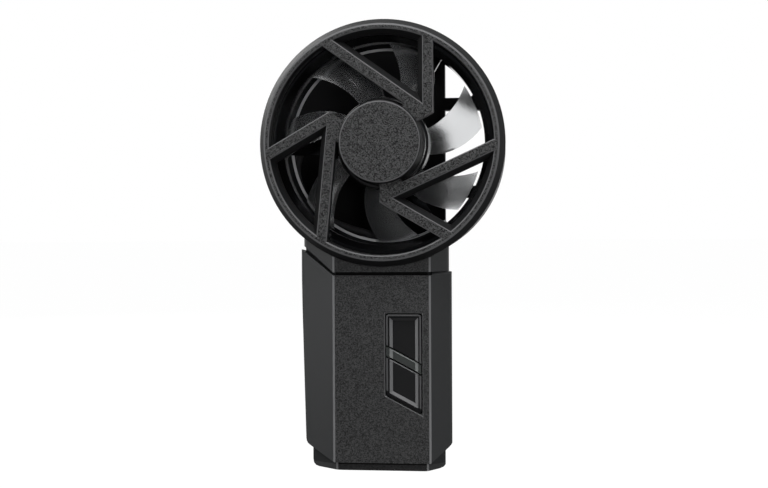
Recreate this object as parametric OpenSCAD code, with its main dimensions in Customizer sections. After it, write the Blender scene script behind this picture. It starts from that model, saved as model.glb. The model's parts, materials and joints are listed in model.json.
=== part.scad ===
// Clip-on phone cooling fan: fan head, neck, faceted body and a sprung lower jaw.
// The front faces -Y, +X is to the right and +Z is up. The origin is where the
// fan's axis meets the plane of the phone's back.

/* [Fan head] */
// Outer radius of the front ring
ring_r = 20; // [18.5:0.25:22]
// Width of the ring from its outer edge to its inner edge
ring_wall = 1.77; // [1.4:0.05:2]
// Depth of the ring from front to back
grille_d = 2.6; // [2.2:0.1:3.2]
// Radial width of the ring's outer bevel
ring_bevel_w = 0.97; // [0.4:0.05:1.1]
// Depth of the ring's outer bevel
ring_bevel_d = 1.6; // [0.8:0.1:2]
// Radius of the hub face
hub_r = 6.6; // [6:0.1:6.9]
// How far the hub face stands in front of the ring
hub_rise = 1.3; // [0.6:0.1:2]
// How far the hub reaches behind the ring's front face
hub_d = 2.5; // [2:0.1:2.8]
// How much wider the hub is at its back than at its face
hub_draft = 0.35; // [0:0.05:0.5]
// Thickness of the hub cap
cap_t = 1; // [0.6:0.1:1.5]
// Width of the chamfers along the ring's edges
ring_edge = 0.2; // [0.15:0.01:0.25]
// Width of the chamfers along the arms' edges
arm_edge = 0.16; // [0.1:0.01:0.2]
// Width of each arm's front face
arm_w = 1.74; // [1.2:0.05:2.2]
// Depth of each arm
arm_d = 1.8; // [1.4:0.1:2.2]
// Distance of the upright arm's middle line from the fan's axis
arm_p_offset = 7.66; // [7.4:0.05:8.2]
// Distance of the slanted arm's middle line from the fan's axis
arm_q_offset = 8.12; // [7.9:0.05:8.6]
// Angle between the two arms of a V
arm_spread = 54.5; // [48:0.5:60]
// Width of the sloping wall inside each V
vee_bevel_w = 0.8; // [0.3:0.05:1]
// Depth of the sloping wall inside each V
vee_bevel_d = 1.2; // [0.6:0.1:1.4]
// Depth at which that wall starts on the ring
vee_ledge_d = 0.3; // [0.25:0.05:0.4]
// Depth of the whole head from the ring's front face to its back face
head_d = 19.8; // [18:0.1:23]

/* [Impeller] */
// Number of blades
blade_count = 7; // [5:1:9]
// Gap between the blade tips and the duct
tip_gap = 0.4; // [0.3:0.05:0.8]
// Thickness of a blade at its middle
blade_t = 0.7; // [0.5:0.05:0.9]
// Angle that a blade covers at its root
blade_root_a = 31; // [22:1:36]
// Angle that a blade covers at its tip
blade_tip_a = 25; // [18:1:36]
// Angle by which the tip runs ahead of the root
blade_sweep = 20; // [0:1:30]
// Outer radius of the impeller's hub
rotor_r = 7.5; // [7.2:0.1:8]
// Wall of the impeller's hub
rotor_wall = 0.6; // [0.5:0.05:0.8]

/* [Duct and motor] */
// Wall of the duct
duct_wall = 1.4; // [1.2:0.05:1.8]
// Depth of the duct
duct_d = 7; // [6.4:0.1:8]
// Width of the lip at the back of the duct
lip_w = 0.8; // [0.3:0.05:1]
// Width of the strut that carries the wires
lead_strut_w = 3; // [2.4:0.1:4]
// Width of the other two struts
strut_w = 1.8; // [1.2:0.1:2.4]
// Thickness of the struts and the motor base
base_t = 1; // [0.8:0.1:1.4]
// Radius of the motor shaft
shaft_r = 0.75; // [0.6:0.05:0.9]
// Wall of the bearing sleeve
sleeve_wall = 1.1; // [0.9:0.05:1.2]
// Wall of the tube that holds the bearing sleeve
tube_wall = 0.65; // [0.5:0.05:0.8]
// Thickness of the magnet ring
magnet_t = 0.75; // [0.5:0.05:0.9]
// Thickness of the steel ring behind the magnet
yoke_t = 0.35; // [0.25:0.05:0.45]

/* [Back plate and upper jaw] */
// Thickness of the back plate
cover_t = 2.4; // [2:0.1:3]
// Distance of the window's straight edge from the fan's axis
window_x = 9.15; // [8.5:0.05:10.5]
// Height of each bar across the window
bar_h = 2.1; // [1.4:0.1:2.6]
// Distance of the bars from the fan's axis
bar_z = 7.6; // [6.8:0.1:8.4]
// Half width of the jaws
jaw_half_w = 5.5; // [4.5:0.1:5.6]
// Thickness of the jaws' shelves
jaw_t = 2; // [1.6:0.1:2.4]
// Clear depth between the phone's back plane and a jaw's lip
jaw_grip = 8.4; // [7.5:0.1:10.5]
// Height of a jaw's lip
lip_h = 3.4; // [2.4:0.1:4.5]
// Distance of the upper shelf's top below the ring's top
upper_jaw_drop = 1.1; // [0.8:0.1:1.6]
// Thickness of the rubber pads
pad_t = 1.2; // [0.9:0.1:1.6]

/* [Neck and body] */
// Reach of the flat front face to the left of the fan's axis
face_left = 8.03; // [7.2:0.01:8.6]
// Reach of the flat front face to the right of the fan's axis
face_right = 7.77; // [7.2:0.01:8.6]
// Reach of the left facet from the fan's axis at the top
left_w = 14.12; // [13.6:0.02:15.2]
// Reach of the left facet from the fan's axis at the bottom
left_low_w = 13.2; // [12.9:0.05:14.2]
// Reach of the right facet from the fan's axis
right_w = 11.13; // [10.6:0.01:12]
// Depth of the left facet
left_facet_d = 4; // [3:0.1:5]
// Depth of the right facet
right_facet_d = 4.2; // [3:0.1:5]
// How much narrower each side is at the back
back_in = 3.2; // [2:0.1:3.8]
// How far the front face lies behind the ring's front face
body_setback = 1.8; // [1.2:0.1:2.4]
// Height of the neck between the ring and the body
body_drop = 1.5; // [1.2:0.1:2.5]
// Length of the body's front face
body_len = 30.5; // [30:0.25:34]
// Height of the body's left shoulder
shoulder_h = 4.4; // [2.5:0.1:5]
// Rise of the body's lower edge along the facets
skirt_rise = 2.7; // [1.5:0.1:3]
// Gap between neck and body
neck_gap = 0.5; // [0.3:0.05:0.8]
// How much slimmer the neck is than the body
neck_in = 0.45; // [0.2:0.05:0.8]
// Width of the chamfer along the ridges beside the front face
ridge_edge = 0.2; // [0.1:0.02:0.3]
// Rounding of the outer corners
corner_edge = 0.7; // [0.4:0.05:0.9]
// Wall of the shells
wall = 1.4; // [1.2:0.1:1.6]
// Depth of the front shell
front_shell_d = 9.2; // [8.6:0.1:10]

/* [Buttons] */
// Left edge of the button group, from the fan's axis
button_x = 0.6; // [0:0.1:1]
// Width of the button group
button_w = 5.7; // [5:0.1:6]
// Distance of the button group below the body's top edge
button_drop = 6.3; // [5.5:0.1:7]
// Height of the button group along its left edge
button_h = 13.1; // [12.5:0.1:14.5]
// Slope of the slanted edges
button_slant = 28; // [15:1:32]
// Height of the upper button along its left edge
upper_button_h = 4.95; // [4.4:0.05:5.4]
// Height of the indicator strip
strip_h = 1.45; // [1:0.05:1.8]
// Gap round the buttons
button_gap = 0.18; // [0.12:0.02:0.3]
// Travel of the buttons
button_travel = 0.4; // [0.2:0.05:0.5]
// Width of the buttons' raised rim
button_rim = 0.42; // [0.3:0.02:0.6]
// Width of the steep step inside the rim
button_step_w = 0.1; // [0.05:0.01:0.2]
// Depth of the steep step
button_step_d = 0.2; // [0.1:0.02:0.3]
// Width of the slope below the step
button_slope_w = 0.5; // [0.3:0.05:0.8]
// Depth of the dish
button_dish = 0.5; // [0.35:0.05:0.6]
// Rounding of the group's corners
button_corner = 0.5; // [0.2:0.05:0.7]
// Width of the chamfer round the opening and along the slanted edges
button_edge = 0.14; // [0.08:0.01:0.2]

/* [Lower jaw] */
// Height of the foot below the body's front edge
foot_show = 1.4; // [1:0.1:2]
// Inset of the foot from the body's faces
foot_in = 1.05; // [0.9:0.05:1.3]
// Travel of the lower jaw
jaw_travel = 18; // [12:0.5:18]
// Radius of the guide rods
rod_r = 1; // [0.8:0.05:1.1]
// Distance between the guide rods
rod_span = 12; // [11.4:0.1:12.4]
// Length of the jaw springs when the jaw is fully out
spring_closed = 4.6; // [4.5:0.1:5]
// Thickness of the spring wire
spring_wire = 0.45; // [0.35:0.05:0.5]
// Turns of each spring
spring_turns = 9; // [6:1:10]

/* [Electronics] */
// Thickness of the main board
board_t = 1; // [0.8:0.1:1.2]
// Thickness of the battery cell
cell_t = 5; // [4:0.1:5.4]
// Width of the battery cell
cell_w = 12; // [10:0.5:12.5]
// Side of the switches
switch_w = 3; // [2.4:0.1:3.2]
// Thickness of the fan's lead
lead_d = 1.2; // [0.9:0.1:1.4]

/* [Hidden] */
$fn = 96;
eps = 0.01;
// Clearance between fixed pieces
fit = 0.1;
// Clearance of pieces that are pressed or glued together
press = 0.02;
// Radial clearance of the shaft and of the guide rods
run = 0.03;
// Clearance round the moving jaw
slide = 0.2;
// Clearance in front of the rotor and behind it
rotor_gap = 0.5;
rotor_back_gap = 0.3;
// Longer than any piece, for cuts that go right through
far = 60;

// Depths of the head from front to back
y_back = -pad_t;
y_face = y_back - head_d;
y_hub_face = y_face - hub_rise;
y_cap_back = y_hub_face + cap_t;
y_hub_back = y_face + hub_d;
y_arm_back = y_face + arm_d;
y_ring_back = y_face + grille_d;
y_frame_back = y_ring_back + duct_d;
y_base = y_frame_back - base_t;
motor_board_t = 0.6;
y_motor_board = y_base - motor_board_t;
rotor_front_t = 0.8;
y_rotor = y_hub_back + rotor_gap;
y_rotor_inside = y_rotor + rotor_front_t;
y_rotor_back = y_motor_board - rotor_back_gap;
boss_gap = 0.4;
tube_setback = 0.9;
y_tube = y_rotor_inside + tube_setback;
shaft_cover = 0.3;
y_shaft = y_rotor + shaft_cover;
y_shaft_end = y_base - fit;
y_cover = y_back - cover_t;
shoulder_t = 1;
y_chamber = y_frame_back + shoulder_t;

// Radii of the head
housing_in = 0.4;
duct_in = 0.23;
shoulder_w = 0.5;
ring_in_r = ring_r - ring_wall;
ring_face_r = ring_r - ring_bevel_w;
housing_r = ring_r - housing_in;
duct_out_r = ring_in_r - duct_in;
duct_r = duct_out_r - duct_wall;
bore_r = duct_out_r + fit;
shoulder_r = duct_r + shoulder_w;
base_in = 0.3;
base_r = rotor_r - base_in;
strut_end_r = (duct_r + duct_out_r) / 2;
neck_bite = 0.3;
neck_cut_r = housing_r - neck_bite;
window_rim = 2.3;
window_r = housing_r - window_rim;
window_corner = 1;
window_bevel = 0.5;

// Hub cap
cap_pin_r = 2;
cap_pin_len = 1.2;
cap_edge = 0.25;
cap_back_r = hub_r + hub_draft * cap_t / (hub_rise + hub_d);
// Angle at which the two arms of the first V meet
apex_a = 29;

// Lip and mouth of the duct
lip_t = 0.7;
lip_from_a = 60;
lip_sweep_a = 248;
bell_d = 1.4;
bell_rim = 0.5;
bell_r = duct_out_r - bell_rim;

// Blades
blade_tip_r = duct_r - tip_gap;
blade_root_r = rotor_r - rotor_wall / 2;
blade_short = 0.6;
blade_h = y_rotor_back - y_rotor - blade_short;
y_blade = (y_rotor + y_rotor_back) / 2;
blade_first_a = 2;
blade_bow = 0.35;

// Motor
rotor_in_r = rotor_r - rotor_wall;
yoke_out_r = rotor_in_r - press;
yoke_in_r = yoke_out_r - yoke_t;
magnet_out_r = yoke_in_r - press;
magnet_in_r = magnet_out_r - magnet_t;
sleeve_r = shaft_r + run + sleeve_wall;
tube_in_r = sleeve_r + press;
tube_r = tube_in_r + tube_wall;
seat_w = 0.4;
tube_seat_r = tube_r + seat_w;
air_gap = 0.3;
stator_r = magnet_in_r - air_gap;
poles = 4;
core_t = 1.3;
core_rise = 2.2;
y_core = y_motor_board - core_rise;
pole_half = 0.6;
shoe_t = 0.6;
shoe_a = 66;
core_ring_w = 0.7;
core_ring_r = tube_r + core_ring_w;
wind_t = 0.45;
wind_gap = 0.12;

// Body outlines
y_body = y_face + body_setback;
y_split = y_body + front_shell_d;
z_top = -(ring_r + body_drop);
z_low = z_top - body_len;
z_foot = z_low - foot_show;
mid_shift = 0.27;
body_mid_x = (right_w - left_w) / 2 + mid_shift;
// The body's top edge steps up at step_x and closes the gap on the right
step_out = 0.28;
step_x = face_right + step_out;
neck_h = 9;
neck_top = z_top + neck_h;
collar_in = 0.9;
// The collar reaches nearly to the neck's left side, so no light passes there
collar_side_in = 0.1;
shoulder_edge = 0.5;
skirt_h = 3.2;
skirt_wall = foot_in - slide;
floor_t = 1.6;
z_floor_under = z_low + skirt_h;
z_floor = z_floor_under + floor_t;
spigot_half = 3.8;
spigot_len = 3.8;
spigot_front = 2;
y_spigot = y_split - spigot_front;

// Buttons, from the top edge of the group down along its left edge
button_slope = tan(button_slant);
strip_gap = 0.3;
z_button = z_top - button_drop;
upper_z0 = z_button - upper_button_h;
strip_z1 = upper_z0 - strip_gap;
strip_z0 = strip_z1 - strip_h;
lower_z1 = strip_z0 - strip_gap;
lower_z0 = z_button - button_h;
button_mid_x = button_x + button_w / 2;
button_mid_drop = button_slope * button_w / 2;
stem_drop = 0.6;
upper_stem = [button_mid_x, (z_button + upper_z0) / 2 - stem_drop];
lower_stem = [button_mid_x, (lower_z1 + lower_z0) / 2 - button_mid_drop];
strip_leg = [button_mid_x, (strip_z1 + strip_z0) / 2 - button_mid_drop];
button_back = 0.2;
button_t = wall + button_back;
flange_t = 0.6;
flange_w = 0.5;
flange_half_h = 1.2;
stem_r = 0.9;
stem_len = 0.9;
leg_r = 0.5;
y_button_back = y_body + button_t + flange_t;

// Board and what sits on it
press_gap = 0.05;
switch_t = 1.2;
plunger_t = 0.4;
plunger_r = 0.7;
y_board = y_button_back + stem_len + button_travel + press_gap + plunger_t + switch_t;
y_board_back = y_board + board_t;
board_left_in = 4.6;
board_right_in = 2.93;
board_top_in = 3;
board_low_in = 9;
board_x0 = board_left_in - left_low_w;
board_x1 = right_w - board_right_in;
board_z1 = z_top - board_top_in;
board_z0 = z_low + board_low_in;
board_post_r = 1.1;
board_rest_r = 0.8;
board_screw_r = 0.48;
board_screw_in = 1.8;
board_screw_len = 2;
board_head_t = 0.6;
board_rest_in = 0.6;
board_screw_at = [for (z = [board_z1 - board_screw_in, board_z0 + board_screw_in])
    [board_x0 + board_screw_in, z]];
board_rest_at = [for (z = [board_z1 - board_screw_in, board_z0 + board_screw_in])
    [board_x1 - board_rest_in, z]];
led_t = 0.7;
led_size = [1.6, 0.8];
y_led = y_board - led_t;
cell_in = 0.3;
cell_x1 = board_x1 - cell_in;
cell_edge = 1.2;
usb_size = [7.3, 3.2, 8.94];
usb_cell_gap = 0.5;
usb_x1 = cell_x1 - cell_w - usb_cell_gap;
usb_z = (board_z0 + board_z1) / 2;
usb_shell_t = 0.3;
usb_tongue = [0.7, 6.6];
usb_gap = 0.15;
usb_reach = 3;
usb_tongue_in = 1;

// Jaw
upper_jaw_z = ring_r - upper_jaw_drop;
rod_in = 2.2;
y_rod = y_back - wall - rod_in;
clip_t = 0.5;
clip_w = 0.75;
clip_r = rod_r + clip_w;
clip_groove = 0.2;
rod_above_clip = 0.4;
rod_in_jaw = 1;
spring_gap = 0.15;
spring_len = jaw_travel + spring_closed;
spring_r = rod_r + spring_gap + spring_wire / 2;
z_rod_top = z_floor + spring_len + clip_t + rod_above_clip;
jaw_lip_t = 1.4;
hook_tip = 0.5;
hook_edge = 0.9;
hook_corner = 1.6;
y_jaw_lip = jaw_grip;
y_jaw_end = jaw_grip + jaw_lip_t;
z_shelf = z_foot + jaw_t;
jaw_pad_in = 0.5;
foot_corner = 1.1;
foot_drop = 0.2;

// Pads on the back
head_pad_half = [6.5, 8.5];
body_pad_half = 5;
body_pad_drop = 5.5;
body_pad_h = 14;
body_pad_z1 = z_top - body_pad_drop;
body_pad_z0 = body_pad_z1 - body_pad_h;

// Screws
screw_r = 0.7;
screw_gap = 0.15;
screw_head_r = 1.35;
screw_head_t = 0.8;
screw_sunk = 0.1;
recess_len = 0.62;
recess_w = 0.15;
recess_d = 0.6;
recess_turn = 20;
screw_bite = 4;
upper_screw_in = 1.9;
low_screw_up = 1.8;
screw_half = 1.9;
upper_screw_z = z_top - upper_screw_in;
low_screw_z = z_floor + low_screw_up;
screw_x = [body_mid_x - screw_half, body_mid_x + screw_half];
post_r = 1.5;
post_in = 0.6;
post_angles = [66, 114, 252, 288];
post_at = [for (a = post_angles) (housing_r - post_r - post_in) * [cos(a), sin(a)]];

// Lead: from the motor board through a hole in the motor base, along the wide strut,
// round the chamber, down through the neck and onto the back of the main board
lead_r = lead_d / 2;
lead_play = 0.6;
base_play = 0.3;
base_hole_at = 4.2;
lead_cover = 0.8;
lead_clear = 0.08;
lead_end_drop = 6.5;
hole_top_in = 1.6;
lead_hole_r = lead_r + lead_play;
base_hole_r = lead_r + base_play;
base_hole_x = -base_hole_at;
lead_x = body_mid_x;
y_lead = y_spigot + lead_hole_r + lead_cover;
y_lead_run = y_frame_back + lead_r + lead_clear;
z_lead_end = z_top - lead_end_drop;
z_lead_hole = hole_top_in - bore_r;
// Point of the lead at an angle seen from the front, a little inside the duct's radius
function by_duct(a, in, y) = [(duct_r - in) * cos(a), y, (duct_r - in) * sin(a)];
lead_route = [
    [base_hole_x, y_base, 0],
    [base_hole_x, y_base + 0.6, 0],
    [base_hole_x - 0.2, y_frame_back + 0.2, 0],
    [base_hole_x - 0.75, y_lead_run - 0.1, 0],
    [base_hole_x - 1.6, y_lead_run, 0],
    by_duct(180, 3.6, y_lead_run),
    by_duct(183.5, 1.97, y_lead_run + 0.2),
    by_duct(190.3, 0.95, y_lead_run + 0.5),
    by_duct(197.9, 0.35, y_lead),
    by_duct(207.2, 0.1, y_lead),
    by_duct(218.1, 0.15, y_lead),
    by_duct(231.1, 0.67, y_lead),
    by_duct(245.3, 1.3, y_lead),
    by_duct(257.1, 1.41, y_lead),
    [lead_x - 0.5, y_lead, z_lead_hole + 0.3],
    [lead_x, y_lead, z_lead_hole - 2],
    [lead_x, y_lead, z_lead_end + 2.4],
    [lead_x, y_lead - 0.3, z_lead_end + 1.1],
    [lead_x, y_lead - 1.1, z_lead_end + 0.3],
    [lead_x, y_lead - 2.2, z_lead_end],
    [lead_x, y_board_back, z_lead_end]];
cell_up = 1;
cell_z1 = z_lead_end - lead_d;
cell_z0 = board_z0 + cell_up;

// Extrudes an outline drawn in X and Z from y0 to y1
module along_y(y0, y1) {
    translate([0, y1, 0]) rotate([90, 0, 0]) linear_extrude(y1 - y0) children();
}

// Round bar or cone on a line parallel to Y, with radius r0 at y0 and r1 at y1
module bar_y(y0, y1, r0, r1 = undef, at = [0, 0]) {
    translate([at.x, y1, at.y]) rotate([90, 0, 0])
        cylinder(h = y1 - y0, r1 = is_undef(r1) ? r0 : r1, r2 = r0);
}

// Turns a profile of radius and depth about the fan's axis
module turned(profile, from = 0, sweep = 360) {
    rotate([90, 0, 0]) rotate([0, 0, from])
        rotate_extrude(angle = sweep) polygon([for (p = profile) [p.x, -p.y]]);
}

// Turns children about the fan's axis by an angle seen from the front
module spun(a) {
    rotate([0, -a, 0]) children();
}

// Extrudes an outline of depth and height along X
module along_x(x0, x1) {
    translate([x0, 0, 0]) rotate([90, 0, 90]) linear_extrude(x1 - x0) children();
}

// Box between two corners
module box(low, high) {
    translate(low) cube(high - low);
}

// Moves each side of a convex anticlockwise outline inwards by d, or by a list of distances
function unit(v) = v / norm(v);
function left_of(v) = [-v.y, v.x];
function meet(p, u, q, v) = p + u * cross(q - p, v) / cross(u, v);
function inset(poly, d) = let (n = len(poly)) [for (i = [0 : n - 1])
    let (
        a = poly[(i + n - 1) % n],
        b = poly[i],
        c = poly[(i + 1) % n],
        u = unit(b - a),
        v = unit(c - b),
        d0 = is_list(d) ? d[(i + n - 1) % n] : d,
        d1 = is_list(d) ? d[i] : d
    ) meet(b + left_of(u) * d0, u, b + left_of(v) * d1, v)];

// Cuts each corner of an outline at a listed distance from it, in a curve of a few steps
function softened(poly, cuts, steps = 3) = let (n = len(poly)) [for (i = [0 : n - 1])
    let (
        b = poly[i],
        from = b + unit(poly[(i + n - 1) % n] - b) * cuts[i],
        to = b + unit(poly[(i + 1) % n] - b) * cuts[i]
    ) each cuts[i] == 0 ? [b] : [for (k = [0 : steps]) let (t = k / steps)
        (1 - t) * (1 - t) * from + 2 * t * (1 - t) * b + t * t * to]];

// Section of the body seen from above
function body_section(side_in = 0) = [
    [-face_left, y_body],
    [face_right, y_body],
    [right_w - side_in, y_body + right_facet_d],
    [right_w - side_in - back_in, y_back],
    [-left_w + side_in + back_in, y_back],
    [-left_w + side_in, y_body + left_facet_d]];

// The same with chamfered ridges and rounded sides
function eased_section(d = 0, side_in = 0) = softened(
    softened(inset(body_section(side_in), d), [ridge_edge, ridge_edge, 0, 0, 0, 0], 1),
    [0, 0, 0, 0, corner_edge, 0, 0, corner_edge]);

// Body seen from the front
function body_front_view() = softened([
    [-left_low_w, z_low + skirt_rise],
    [-face_left, z_low],
    [face_right, z_low],
    [right_w, z_low + skirt_rise],
    [right_w, z_top + neck_gap],
    [step_x, z_top + neck_gap],
    [step_x, z_top],
    [-face_left, z_top],
    [-left_w, z_top + shoulder_h]], [corner_edge, 0, 0, corner_edge, 0, 0, 0, 0, shoulder_edge]);

// Hollow of the body seen from the front
function hollow_view() = [
    [-left_low_w + wall, z_floor],
    [right_w - wall, z_floor],
    [right_w - wall, z_top - wall],
    [-face_left, z_top - wall],
    [-left_w + wall, z_top + shoulder_h - 1.6 * wall]];

// Neck seen from the front, and the collar that closes the gap below it
function collar_front_view() = [
    [-left_w, neck_top],
    [-left_w, z_top + shoulder_h],
    [-face_left, z_top],
    [step_x, z_top],
    [step_x, neck_top]];
function neck_front_view() = [
    [-left_w + neck_in, neck_top],
    [-left_w + neck_in, z_top + shoulder_h + neck_gap],
    [-face_left, z_top + neck_gap],
    [right_w - neck_in, z_top + neck_gap + fit],
    [right_w - neck_in, neck_top]];

// Section of the collar
function collar_section() = inset(body_section(neck_in),
    [collar_in, collar_in, collar_in, collar_in, collar_side_in, collar_in]);

// Form with one outline seen from above and another seen from the front
module body_form(section, front_view) {
    intersection() {
        translate([0, 0, -2 * far]) linear_extrude(2 * far) polygon(section);
        along_y(y_body - 1, y_back + 1) polygon(front_view);
    }
}

// Half space on the low side of a plane whose normal lies at angle a in the front view.
// The plane is at offset d at depth y0 and at offset d + lean at depth y1.
module slab_under(a, d, y0, y1, lean = 0) {
    spun(a) translate([0, 0, -far]) linear_extrude(2 * far)
        polygon([[-far, y0], [d, y0], [d + lean, y1], [-far, y1]]);
}

// Front ring with its outer bevel and a thin flat face
module ring_body() {
    bevel = unit([ring_bevel_w, ring_bevel_d]) * ring_edge;
    turned([
        [ring_in_r, y_face + ring_edge],
        [ring_in_r + ring_edge, y_face],
        [ring_face_r - ring_edge, y_face],
        [ring_face_r, y_face] + bevel,
        [ring_r, y_face + ring_bevel_d],
        [ring_r, y_ring_back],
        [ring_in_r, y_ring_back]]);
}

// Wedge between two planes along the arms of the upper V; at the ring's face the planes stand
// out from the arms' middle lines by out, and by lean more with each millimetre of depth
module vee_wedge(out, lean) {
    more = lean * (y_arm_back - y_face + 2);
    intersection() {
        slab_under(0, arm_p_offset + out - lean, y_face - 1, y_arm_back + 1, more);
        slab_under(arm_spread + 180, out - arm_q_offset - lean, y_face - 1, y_arm_back + 1, more);
    }
}

// One V of two arms with chamfered outer edges, filled between them
module vee_block() {
    intersection() {
        bar_y(y_face, y_arm_back, ring_in_r + 2 * ring_edge);
        vee_wedge(arm_w / 2, 0);
        vee_wedge(arm_w / 2 - arm_edge, 1);
        slab_under(apex_a - 90, 0, y_face - 1, y_arm_back + 1);
    }
}

// Opening inside the V: a chamfer at the front, a sloping wall and a straight end
module vee_opening() {
    slope = vee_bevel_w / (vee_bevel_d - arm_edge);
    intersection() {
        bar_y(y_face - eps, y_arm_back + eps, ring_r);
        union() {
            vee_wedge(arm_edge - arm_w / 2, -1);
            vee_wedge(slope * arm_edge - arm_w / 2, -slope);
            vee_wedge(-vee_bevel_w - arm_w / 2, 0);
        }
    }
}

// Ledge on the ring that carries the V's sloping wall on; its slope runs on into the ring
module vee_ledge() {
    deep = vee_bevel_d - arm_edge;
    y0 = y_face + vee_ledge_d;
    intersection() {
        turned([
            [ring_in_r - vee_bevel_w, y0 + deep],
            [ring_in_r + ring_edge, y0 - deep * ring_edge / vee_bevel_w],
            [ring_in_r + ring_edge, y_arm_back],
            [ring_in_r - vee_bevel_w, y_arm_back]]);
        slab_under(0, arm_p_offset, y_face - 1, y_arm_back + 1);
        slab_under(arm_spread + 180, -arm_q_offset, y_face - 1, y_arm_back + 1);
    }
}

// Web between the hub and the bend of a V
module hub_web() {
    along_y(y_face, y_arm_back)
        polygon([
            [0, 0],
            (arm_p_offset + arm_w) * [cos(apex_a), sin(apex_a)],
            (arm_q_offset) * [cos(arm_spread + 4), sin(arm_spread + 4)]]);
}

module front_grille() {
    color("#2b2b2c")
    difference() {
        union() {
            ring_body();
            for (a = [0, 120, 240]) spun(a) {
                difference() {
                    vee_block();
                    vee_opening();
                }
                vee_ledge();
                hub_web();
            }
            bar_y(y_cap_back, y_hub_back, cap_back_r, hub_r + hub_draft);
        }
        bar_y(y_cap_back - eps, y_cap_back + cap_pin_len + fit, cap_pin_r + fit);
    }
}

module hub_cap() {
    color("#2f2f30")
    turned([
        [0, y_hub_face],
        [hub_r - cap_edge, y_hub_face],
        [hub_r - cap_edge * 0.3, y_hub_face + cap_edge * 0.3],
        [hub_r, y_hub_face + cap_edge],
        [cap_back_r, y_cap_back],
        [cap_pin_r, y_cap_back],
        [cap_pin_r, y_cap_back + cap_pin_len],
        [0, y_cap_back + cap_pin_len]]);
}

module fan_frame() {
    color("#161617")
    difference() {
        union() {
            turned([
                [duct_out_r, y_ring_back],
                [duct_out_r, y_frame_back],
                [duct_r, y_frame_back],
                [duct_r, y_ring_back + bell_d],
                [bell_r, y_ring_back]]);
            turned([
                [duct_r - lip_w, y_frame_back - lip_t / 2],
                [duct_r - lip_w / 2, y_frame_back - lip_t],
                [duct_r + eps, y_frame_back - lip_t],
                [duct_r + eps, y_frame_back],
                [duct_r - lip_w, y_frame_back]], from = lip_from_a, sweep = lip_sweep_a);
            bar_y(y_base, y_frame_back, base_r);
            for (s = [[180, lead_strut_w], [60, strut_w], [300, strut_w]])
                spun(s[0])
                    box([tube_r, y_base, -s[1] / 2], [strut_end_r, y_frame_back, s[1] / 2]);
            bar_y(y_tube, y_frame_back, tube_r);
            bar_y(y_core + core_t, y_frame_back, tube_seat_r);
        }
        bar_y(y_tube - eps, y_base, tube_in_r);
        bar_y(y_base - eps, y_frame_back + eps, base_hole_r, at = [base_hole_x, 0]);
    }
}

// Point on a blade: u runs from root to tip, s from the trailing to the leading edge
function blade_point(u, s, side) =
    let (
        r = blade_root_r + u * (blade_tip_r - blade_root_r),
        span = blade_root_a + u * (blade_tip_a - blade_root_a),
        a = blade_sweep * pow(u, 1.3) + s * span / 2,
        height = blade_h * (1 - 0.12 * u),
        thick = blade_t * (1 - 0.25 * u) * (1 - 0.7 * s * s),
        y = y_blade - s * height / 2 + blade_bow * (1 - s * s) + side * thick / 2
    ) [r * cos(a), y, r * sin(a)];

module blade() {
    stations = 8;
    steps = 8;
    ring = 2 * (steps + 1);
    points = [for (i = [0 : stations]) let (u = i / stations) each concat(
        [for (k = [0 : steps]) blade_point(u, -1 + 2 * k / steps, -1)],
        [for (k = [steps : -1 : 0]) blade_point(u, -1 + 2 * k / steps, 1)])];
    sides = [for (i = [0 : stations - 1], k = [0 : ring - 1])
        let (a = i * ring + k, b = i * ring + (k + 1) % ring)
        each [[a, b, b + ring], [a, b + ring, a + ring]]];
    last = stations * ring;
    ends = [for (k = [0 : steps - 1]) let (m = ring - 1 - k)
        each [[k + 1, k, m], [k + 1, m, m - 1],
            [last + k, last + k + 1, last + m], [last + k + 1, last + m - 1, last + m]]];
    polyhedron(points, concat(sides, ends));
}

module impeller() {
    edge = 0.5;
    color("#4a4c4f")
    difference() {
        union() {
            turned([
                [0, y_rotor],
                [rotor_r - edge, y_rotor],
                [rotor_r - edge * 0.3, y_rotor + edge * 0.3],
                [rotor_r, y_rotor + edge],
                [rotor_r, y_rotor_back],
                [rotor_in_r, y_rotor_back],
                [rotor_in_r, y_rotor_inside],
                [sleeve_r, y_rotor_inside],
                [sleeve_r, y_tube - boss_gap],
                [0, y_tube - boss_gap]]);
            for (i = [0 : blade_count - 1]) spun(blade_first_a + i * 360 / blade_count) blade();
        }
        bar_y(y_shaft, y_rotor_back, shaft_r + press);
    }
}

module rotor_yoke() {
    color("#8a8c90")
    turned([
        [yoke_in_r, y_rotor_inside],
        [yoke_out_r, y_rotor_inside],
        [yoke_out_r, y_rotor_back + fit],
        [yoke_in_r, y_rotor_back + fit]]);
}

module rotor_magnet() {
    color("#3c3a3a")
    turned([
        [magnet_in_r, y_rotor_inside],
        [magnet_out_r, y_rotor_inside],
        [magnet_out_r, y_rotor_back],
        [magnet_in_r, y_rotor_back]]);
}

module motor_shaft() {
    tip = 0.15;
    color("#c9ccd1")
    turned([
        [0, y_shaft],
        [shaft_r, y_shaft],
        [shaft_r, y_shaft_end - tip],
        [shaft_r - tip, y_shaft_end],
        [0, y_shaft_end]]);
}

module bearing_sleeve() {
    color("#b08d57")
    turned([
        [shaft_r + run, y_tube],
        [sleeve_r, y_tube],
        [sleeve_r, y_base],
        [shaft_r + run, y_base]]);
}

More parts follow.
